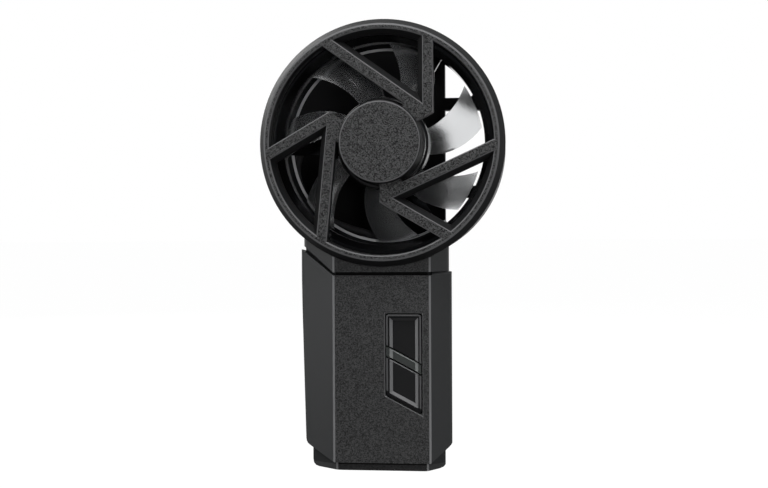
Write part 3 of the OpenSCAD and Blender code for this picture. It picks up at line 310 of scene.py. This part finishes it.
def pitted(material, scale, strength, depth):
    """Gives the surface a fine bumpy grain."""
    cloud = node_of(material, "TexNoise", Scale=scale, Detail=2)
    wire(material, in_place(material), cloud.inputs["Vector"])
    bumpy(material, cloud.outputs["Fac"], strength, depth)


lamination = finish("core_steel", (0.5, 0.5, 0.51), 0.4, Metallic=1.0)
sheets = node_of(lamination, "TexWave", Scale=900, Distortion=0.3)
sheets.bands_direction = "Y"
wire(lamination, in_place(lamination), sheets.inputs["Vector"])
bumpy(lamination, sheets.outputs["Fac"], 0.5, 0.05 * MM)
dressed("stator_core", lamination)


SHARP_EDGE = math.radians(40)


def piece_from(shape, name, *materials):
    """Makes an object of a finished mesh."""
    bmesh.ops.recalc_face_normals(shape, faces=shape.faces)
    mesh = bpy.data.meshes.new(name)
    shape.to_mesh(mesh)
    shape.free()
    for material in materials:
        mesh.materials.append(material)
    mesh.shade_smooth()
    mesh.set_sharp_from_angle(angle=SHARP_EDGE)
    piece = bpy.data.objects.new(name, mesh)
    scene.collection.objects.link(piece)
    return piece


def stands_for(piece, node):
    """Shows a piece in place of a CAD node, on the same body."""
    bodies = frame["record"]["behaviour"]["bodies"]
    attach(piece, next(body for body, held in bodies.items() if node in held))
    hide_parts(node)


def tube(shape, path, radius, sides):
    """A round wire along a path of points."""
    side = (path[1] - path[0]).orthogonal().normalized()
    turns = [2 * math.pi * n / sides for n in range(sides)]
    rows = []
    for k, point in enumerate(path):
        run = (path[min(k + 1, len(path) - 1)] - path[max(k - 1, 0)]).normalized()
        side = (side - run * side.dot(run)).normalized()
        other = run.cross(side)
        rows.append([
            shape.verts.new(point + radius * (math.cos(a) * side + math.sin(a) * other)) for a in turns
        ])
    for first, second in zip(rows, rows[1:]):
        for n in range(sides):
            m = (n + 1) % sides
            shape.faces.new((first[n], first[m], second[m], second[n]))
    shape.faces.new(rows[0])
    shape.faces.new(rows[-1])


enamel = finish("copper_enamel", (0.45, 0.14, 0.05), 0.3, Metallic=0.9)
uneven(enamel, 2500, 0.22, 0.4)
POLES, WIRE_R, WIRE_SIDES, TURNS, TURN_STEPS, LAYERS = 4, 0.11, 6, 6, 16, 2
COIL_HALF, CORNER_ROUND = 1.05, 0.1
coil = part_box("stator_coils")
coil_out, coil_front, coil_back = coil[1].x / MM, coil[0].y / MM, coil[1].y / MM
winding = bmesh.new()
for pole in range(POLES):
    turn = Matrix.Rotation(-pole * 2 * math.pi / POLES, 3, "Y")
    for layer in range(LAYERS):
        inset = WIRE_R * (1 + 2 * layer)
        low, high, half = coil_front + inset, coil_back - inset, COIL_HALF - inset
        path = []
        for k in range(TURNS * TURN_STEPS + 1):
            angle = 2 * math.pi * k / TURN_STEPS
            reach = max(abs(math.cos(angle)), abs(math.sin(angle)))
            round_off = 1 - CORNER_ROUND + CORNER_ROUND * reach
            path.append(turn @ Vector((
                coil_out - WIRE_R - 2 * WIRE_R * k / TURN_STEPS,
                (low + high) / 2 + (high - low) / 2 * math.cos(angle) / reach * round_off,
                half * math.sin(angle) / reach * round_off,
            )) * MM)
        tube(winding, path, WIRE_R * MM, WIRE_SIDES)
stands_for(piece_from(winding, "pole_windings", enamel), "stator_coils")

solder_mask = finish("solder_mask", (0.015, 0.09, 0.04), 0.35)
uneven(solder_mask, 1200, 0.25, 0.45)
dressed("motor_board", solder_mask)

sintered = finish("sintered_bronze", (0.4, 0.25, 0.1), 0.5, Metallic=1.0)
pitted(sintered, 6000, 0.5, 0.03 * MM)
dressed("bearing_sleeve", sintered)

ground_steel = finish("ground_steel", (0.62, 0.62, 0.64), 0.25, Metallic=1.0)
uneven(ground_steel, 2500, 0.18, 0.32)
dressed("motor_shaft", ground_steel)
dressed("rotor_yoke", ground_steel)

ferrite = finish("ferrite", (0.05, 0.046, 0.045), 0.7)
pitted(ferrite, 4000, 0.4, 0.04 * MM)
dressed("rotor_magnet", ferrite)


# Impeller: one moulding, a black hub cup with seven frosted blades that sweep forward and twist.
# The blades scatter the light that passes, so the white behind them shows as a soft glow.
BLADES, FIRST_ANGLE, SWEEP, SWEEP_CURVE = 7, 2.0, 20.0, 1.3
ROOT_R, TIP_R, CUP_R = 7.2, 16.2, 7.5
ROOT_SPAN, TIP_SPAN = 31.0, 25.0
CUP_FRONT, CUP_BACK, CUP_WALL, CUP_FACE = -18.0, -13.3, 0.6, 0.8
BLADE_MARGIN, BLADE_T, BOW = 0.6, 0.7, -0.35
BLADE_H = CUP_BACK - CUP_FRONT - BLADE_MARGIN
TIP_THINNER, EDGE_THINNER, TIP_LOWER = 0.25, 0.7, 0.12
BLADE_STATIONS, BLADE_STEPS = 20, 14


def blade_point(u, s, side):
    """u runs from root to tip and s from the trailing to the leading edge."""
    radius = ROOT_R + u * (TIP_R - ROOT_R)
    angle = SWEEP * u ** SWEEP_CURVE + s * (ROOT_SPAN + u * (TIP_SPAN - ROOT_SPAN)) / 2
    angle = math.radians(angle)
    thick = BLADE_T * (1 - TIP_THINNER * u) * (1 - EDGE_THINNER * s * s)
    y = (CUP_FRONT + CUP_BACK) / 2 - s * BLADE_H * (1 - TIP_LOWER * u) / 2
    y += BOW * (1 - s * s) + side * thick / 2
    return Vector((radius * math.cos(angle), y, radius * math.sin(angle))) * MM


def add_blade(shape, turn):
    rows = []
    for i in range(BLADE_STATIONS + 1):
        u = i / BLADE_STATIONS
        near = [blade_point(u, -1 + 2 * k / BLADE_STEPS, -1) for k in range(BLADE_STEPS + 1)]
        away = [blade_point(u, 1 - 2 * k / BLADE_STEPS, 1) for k in range(BLADE_STEPS + 1)]
        rows.append([shape.verts.new(turn @ p) for p in near + away])
    count = len(rows[0])
    for low, high in zip(rows, rows[1:]):
        for k in range(count):
            shape.faces.new((low[k], low[(k + 1) % count], high[(k + 1) % count], high[k]))
    for row in (rows[0], rows[-1]):
        for k in range(BLADE_STEPS):
            shape.faces.new((row[k], row[k + 1], row[count - 2 - k], row[count - 1 - k]))


def lathed(shape, profile, segments=96):
    """Turns a profile of radius and depth, in millimetres, about the fan's axis."""
    turns = [2 * math.pi * k / segments for k in range(segments)]
    rings = []
    for radius, y in profile:
        if radius == 0:
            rings.append([shape.verts.new((0, y * MM, 0))])
        else:
            rings.append([
                shape.verts.new(Vector((radius * math.cos(a), y, radius * math.sin(a))) * MM)
                for a in turns
            ])
    for first, second in zip(rings, rings[1:]):
        for k in range(segments):
            loop = [first[k % len(first)], first[(k + 1) % len(first)],
                    second[(k + 1) % len(second)], second[k % len(second)]]
            loop = list(dict.fromkeys(loop))
            if len(loop) > 2:
                shape.faces.new(loop)


frosted = finish("frosted_clear", (0.86, 0.87, 0.88), 0.2, Transmission_Weight=0.96, IOR=1.6)
uneven(frosted, 700, 0.16, 0.26)
cup_black = finish("cup_black", (0.012, 0.012, 0.013), 0.2)
uneven(cup_black, 700, 0.16, 0.26)
wheel = bmesh.new()
for k in range(BLADES):
    add_blade(wheel, Matrix.Rotation(-math.radians(FIRST_ANGLE + k * 360 / BLADES), 3, "Y"))
blade_faces = len(wheel.faces)
ROUNDED_EDGE = [(0.5, 0), (0.28, 0.06), (0.08, 0.25), (0, 0.5)]
BOSS_R, BOSS_BACK, SHAFT_HOLE_R, SHAFT_FRONT = 1.88, -16.7, 0.77, -17.7
inside_r, inside_front = CUP_R - CUP_WALL, CUP_FRONT + CUP_FACE
lathed(wheel, [
    (0, CUP_FRONT), *((CUP_R - inward, CUP_FRONT + back) for inward, back in ROUNDED_EDGE),
    (CUP_R, CUP_BACK), (inside_r, CUP_BACK), (inside_r, inside_front), (BOSS_R, inside_front),
    (BOSS_R, BOSS_BACK), (SHAFT_HOLE_R, BOSS_BACK), (SHAFT_HOLE_R, SHAFT_FRONT), (0, SHAFT_FRONT),
])
wheel.faces.ensure_lookup_table()
for face in wheel.faces[blade_faces:]:
    face.material_index = 1
stands_for(piece_from(wheel, "bladed_wheel", frosted, cup_black), "impeller")


# Grille: the ring, three bent V arms and the hub in one moulding, with a bare cap on the hub.
# Both are black plastic with a fine metallic grain on the front; their arrises are painted light grey as
# highlights.
def speckle(material, dark, light, scale):
    """Fine metallic grain between two colours, slightly raised."""
    cells = node_of(material, "TexVoronoi", Scale=scale)
    wire(material, in_place(material), cells.inputs["Vector"])
    tone = node_of(material, "SeparateColor")
    wire(material, cells.outputs["Color"], tone.inputs[0])
    bumpy(material, tone.outputs[0], 0.2, 0.02 * MM)
    return either(material, tone.outputs[0], dark, light)


GRAINED, RING_ARRIS_HIGHLIGHT = -0.985, -0.65
ring_black = finish("ring_black", (0.04, 0.04, 0.04), 0.5, Specular_IOR_Level=0.2)
grain = speckle(ring_black, (0.0, 0.0, 0.0), (0.102, 0.102, 0.103), 6500)
# Painted highlight: faces turned part way to the front, the arrises, are light grey.
banded(ring_black, [(GRAINED, grain), (RING_ARRIS_HIGHLIGHT, (0.13, 0.13, 0.133))], (0.007, 0.007, 0.0075))
dressed("front_grille", ring_black)
dressed("hub_cap", ring_black)


# Head housing: the drum round the duct, the cradle below it and the neck, one moulding. The
# neck has the grain of the body below it, painted darker as shade under the ring, with a band painted
# black as the ring's shadow and ridges painted light as highlights; the drum is smooth.
RIDGE, FACET, CHAMFER = -0.87, -0.72, -0.67
SATIN_ROUGHNESS, NECK_SHADOW_BAND = 0.45, (-22, -20.95)
satin = (0.027, 0.028, 0.029)
ridge_highlight_grey, chamfer_highlight_grey = (0.17, 0.17, 0.174), (0.12, 0.12, 0.122)


def body_finish(name, light, shadow_band=None):
    """Grained front, ridges and chamfers painted light grey as highlights, smooth facets; in a band of
    height the front is painted black as shadow.
    """
    material = finish(name, satin, SATIN_ROUGHNESS, Specular_IOR_Level=0.4)
    front = speckle(material, (0.001, 0.001, 0.0012), light, 7000)
    # Painted shadow: in this band of height the front is black and fully rough.
    if shadow_band:
        tree = material.node_tree
        height = along(material, (0, 0, 1))
        over = reckon(tree, "GREATER_THAN", height, shadow_band[0] * MM)
        under = reckon(tree, "LESS_THAN", height, shadow_band[1] * MM)
        in_shadow_band = reckon(tree, "MULTIPLY", over, under)
        front = either(material, in_shadow_band, front, (0, 0, 0))
        dull = node_of(material, "MapRange", To_Min=SATIN_ROUGHNESS, To_Max=1)
        wire(material, in_shadow_band, dull.inputs["Value"])
        wire(material, dull.outputs[0], shader_of(material).inputs["Roughness"])
    # Painted highlights: the ridges and the chamfers round the opening get light grey.
    bands = [(GRAINED, front), (RIDGE, ridge_highlight_grey), (FACET, satin), (CHAMFER, chamfer_highlight_grey)]
    banded(material, bands, satin)
    return material


# Painted shade: the neck's grain is darker than the body's, as it lies under the ring.
neck_black = body_finish("neck_black", (0.04, 0.04, 0.0405), NECK_SHADOW_BAND)
dressed("head_housing", neck_black)


# Back plate with the barred window and the fixed upper jaw, and the rubber pads that touch
# the phone. Four screws hold the plate to the posts of the housing.
PLATE_FRONT = -0.5
cover_grey, plate_shade_black = (0.02, 0.02, 0.021), (0.0015, 0.0015, 0.0018)
cover_black = finish("cover_black", cover_grey, 0.5, Specular_IOR_Level=0.06)
# Painted shade: faces turned to the front, inside the head behind the grille, are near black; the rest has
# the cover's grey.
banded(cover_black, [(PLATE_FRONT, plate_shade_black)], cover_grey)
uneven(cover_black, 700, 0.45, 0.6)
dressed("rear_cover", cover_black)
rubber = finish("pad_rubber", (0.014, 0.014, 0.015), 0.75, Specular_IOR_Level=0.3)
pitted(rubber, 2200, 0.4, 0.08 * MM)
PAD_EDGE = 0.3


def pad(node, name):
    """A rubber pad with rounded edges in the place of a plain block."""
    low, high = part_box(node)
    block = bmesh.new()
    bmesh.ops.create_cube(block, size=1)
    bmesh.ops.transform(
        block, verts=block.verts,
        matrix=Matrix.Translation((low + high) / 2) @ Matrix.Diagonal((*(high - low), 1)),
    )
    bmesh.ops.bevel(
        block, geom=block.edges[:], offset=PAD_EDGE * MM, segments=3, profile=0.5, affect="EDGES"
    )
    stands_for(piece_from(block, name, rubber), node)


pad("upper_jaw_pad", "upper_grip_pad")
pad("head_pad", "round_back_pad")
pad("body_pad", "body_back_pad")


# Body: two shells that meet behind the facets. The front face has a metallic grain like
# the ring's, the facets beside it are smooth, and the ridge between them and the chamfer round the opening
# are painted light grey as highlights.
shell_black = body_finish("shell_black", (0.062, 0.062, 0.0625))
dressed("body_front", shell_black)
rear_black = finish("rear_black", satin, 0.42)
uneven(rear_black, 600, 0.38, 0.46)
dressed("body_rear", rear_black)


# Buttons: two dished gloss keys with a slanted light strip between them, all three in one
# opening of the front shell. Floor, slopes and rim of each dish differ in tone; the slopes, the strip's
# too, are painted light as highlights, the keys' slopes dark where they face down as shade, and the rim is
# painted light at its sides and top and dark along its bottom.
FLANGE, BOTTOM_FLANGE, SLANT = 0.5, 0.29, math.radians(28)
RIM_DEPTH, LIT_RIM, SHADED_RIM = 0.3, 0.28, 0.45
KEY_FLAT, KEY_SLOPE, LOOKS_DOWN = -0.98, -0.65, -0.2
step_black, rim_shade_black, floor_black = (0.004, 0.004, 0.0045), (0.006, 0.006, 0.0065), (0.014, 0.014, 0.0145)
rim_highlight_grey, slope_highlight_grey, slope_shade_grey = (0.085, 0.085, 0.087), (0.17, 0.17, 0.173), (0.03, 0.03, 0.031)
face_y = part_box("body_front")[0].y
key_low, key_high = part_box("lower_button")[0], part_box("upper_button")[1]
left_edge, right_edge = key_low.x + FLANGE * MM, key_high.x - FLANGE * MM
bottom_way = (math.sin(SLANT), 0, math.cos(SLANT))
bottom = math.cos(SLANT) * (key_low.z + BOTTOM_FLANGE * MM) + math.sin(SLANT) * right_edge


def within(material, edges):
    """How deep a point lies inside edges given by their inward direction and place."""
    tree = material.node_tree
    depths = [reckon(tree, "SUBTRACT", along(material, way), place) for way, place in edges]
    nearest = depths[0]
    for depth in depths[1:]:
        nearest = reckon(tree, "MINIMUM", nearest, depth)
    return nearest


key_black = finish("key_black", step_black, 0.3, Specular_IOR_Level=0.2)
tree = key_black.node_tree
sunk = reckon(tree, "GREATER_THAN", along(key_black, (0, 1, 0)), face_y + RIM_DEPTH * MM)
sides = within(key_black, [
    ((1, 0, 0), left_edge), ((-1, 0, 0), -right_edge), ((0, 0, -1), -key_high.z),
])
# Painted highlight and shade on the rim: light grey near the left, right and top edges, black elsewhere
# and along the bottom edge.
lit = reckon(tree, "LESS_THAN", sides, LIT_RIM * MM)
shaded = reckon(tree, "LESS_THAN", within(key_black, [(bottom_way, bottom)]), SHADED_RIM * MM)
rim = either(key_black, shaded, either(key_black, lit, rim_shade_black, rim_highlight_grey), rim_shade_black)
flat = either(key_black, sunk, rim, floor_black)
# Painted light and shade on the slopes: light grey, and dark where a slope faces down.
looks_down = reckon(tree, "LESS_THAN", facing(key_black, "Z"), LOOKS_DOWN)
slope = either(key_black, looks_down, slope_highlight_grey, slope_shade_grey)
banded(key_black, [(KEY_FLAT, flat), (KEY_SLOPE, slope)], step_black)
uneven(key_black, 1500, 0.25, 0.36)
dressed("upper_button", key_black)
dressed("lower_button", key_black)
strip_grey, strip_slope_highlight, strip_side = (0.03, 0.034, 0.032), (0.2, 0.21, 0.206), (0.015, 0.017, 0.016)
light_guide = finish("light_guide", strip_grey, 0.45)
# Painted highlight: the strip's slopes are light grey.
banded(light_guide, [(KEY_FLAT, strip_grey), (KEY_SLOPE, strip_slope_highlight)], strip_side)
uneven(light_guide, 1500, 0.38, 0.52)
dressed("indicator_strip", light_guide)


# Electronics in the body: the board on its posts, switches under the keys, the lamp under
# the strip, a folded steel socket on the left and a foil-wrapped cell.
dressed("main_board", solder_mask)
plated = finish("plated_steel", (0.6, 0.6, 0.61), 0.3, Metallic=1.0)
uneven(plated, 1800, 0.22, 0.4)
dressed("tact_switches", plated)
dressed("usb_socket", plated)
lens = finish("lamp_lens", (0.8, 0.77, 0.6), 0.2)
uneven(lens, 3000, 0.15, 0.3)
dressed("indicator_led", lens)
foil = finish("cell_foil", (0.33, 0.35, 0.37), 0.35, Metallic=0.6)
uneven(foil, 500, 0.25, 0.5)
dressed("battery_cell", foil)


# Fan lead: two wires in one black sleeve from the motor's board through the base, along the
# lead strut, round the duct and down through the neck to the main board.
LEAD_R, LEAD_SIDES, STRETCH_STEPS = 0.6, 16, 6
LEAD_ROUTE = [
    (-4.2, -12.4, 0), (-4.2, -11.8, 0), (-4.4, -11.2, 0), (-4.95, -10.82, 0), (-5.8, -10.72, 0),
    (-13, -10.72, 0), (-14.6, -10.52, -0.89), (-15.4, -10.22, -2.8), (-15.46, -10, -4.99),
    (-14.68, -10, -7.54), (-12.95, -10, -10.15), (-10, -10, -12.4), (-6.39, -10, -13.9),
    (-3.39, -10, -14.81), (-1.725, -10, -16.2), (-1.225, -10, -18.5), (-1.225, -10, -25.6),
    (-1.225, -10.3, -26.9), (-1.225, -11.1, -27.7), (-1.225, -12.2, -28), (-1.225, -13.05, -28),
]
stops = [Vector(p) * MM for p in LEAD_ROUTE]
path = []
for k in range(len(stops) - 1):
    before, first, second, after = (
        stops[max(k - 1, 0)], stops[k], stops[k + 1], stops[min(k + 2, len(stops) - 1)]
    )
    length = (second - first).length
    leave = (second - before).normalized() * length
    arrive = (after - first).normalized() * length
    for n in range(STRETCH_STEPS):
        t = n / STRETCH_STEPS
        path.append(
            (2 * t ** 3 - 3 * t ** 2 + 1) * first + (t ** 3 - 2 * t ** 2 + t) * leave
            + (3 * t ** 2 - 2 * t ** 3) * second + (t ** 3 - t ** 2) * arrive
        )
path.append(stops[-1])
sleeve = bmesh.new()
tube(sleeve, path, LEAD_R * MM, LEAD_SIDES)
stands_for(piece_from(sleeve, "sleeved_fan_lead", rubber), "fan_lead")


# Lower jaw: the stepped foot and the shelf behind it, on two steel rods with clips; two
# springs on the rods pull it up against the body.
# Painted shade and shadow: the foot's grain is darker than the body's, and its front is black under the
# body's overhang.
FOOT_SHADOW_BAND = (-52.42, -50)
foot_black = body_finish("foot_black", (0.022, 0.022, 0.0225), FOOT_SHADOW_BAND)
dressed("lower_jaw", foot_black)
pad("lower_jaw_pad", "lower_grip_pad")
dressed("guide_rods", ground_steel)
dressed("rod_clips", plated)
SPRING_TURNS, COIL_STEPS, SPRING_WIRE, SPRING_SIDES = 9, 32, 0.45, 10
low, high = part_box("jaw_springs")
wire_r = SPRING_WIRE / 2 * MM
spring_r = (high.y - low.y) / 2 - wire_r
first_z, last_z = low.z + wire_r, high.z - wire_r
springs = bmesh.new()
for axis_x in (low.x + spring_r + wire_r, high.x - spring_r - wire_r):
    helix = []
    for k in range(SPRING_TURNS * COIL_STEPS + 1):
        angle = 2 * math.pi * k / COIL_STEPS
        helix.append(Vector((
            axis_x + spring_r * math.cos(angle),
            (low.y + high.y) / 2 + spring_r * math.sin(angle),
            first_z + (last_z - first_z) * k / (SPRING_TURNS * COIL_STEPS),
        )))
    tube(springs, helix, wire_r, SPRING_SIDES)
coils = piece_from(springs, "jaw_return_springs", ground_steel)
stands_for(coils, "jaw_springs")
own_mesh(coils)


# Screws: blackened steel with a cross recess, sunk in the back plate and the rear shell, and
# two on the board.
blackened = finish("blackened_steel", (0.1, 0.1, 0.105), 0.4, Metallic=0.9)
uneven(blackened, 3000, 0.32, 0.5)
dressed("cover_screws", blackened)
dressed("body_screws", blackened)
dressed("board_screws", blackened)
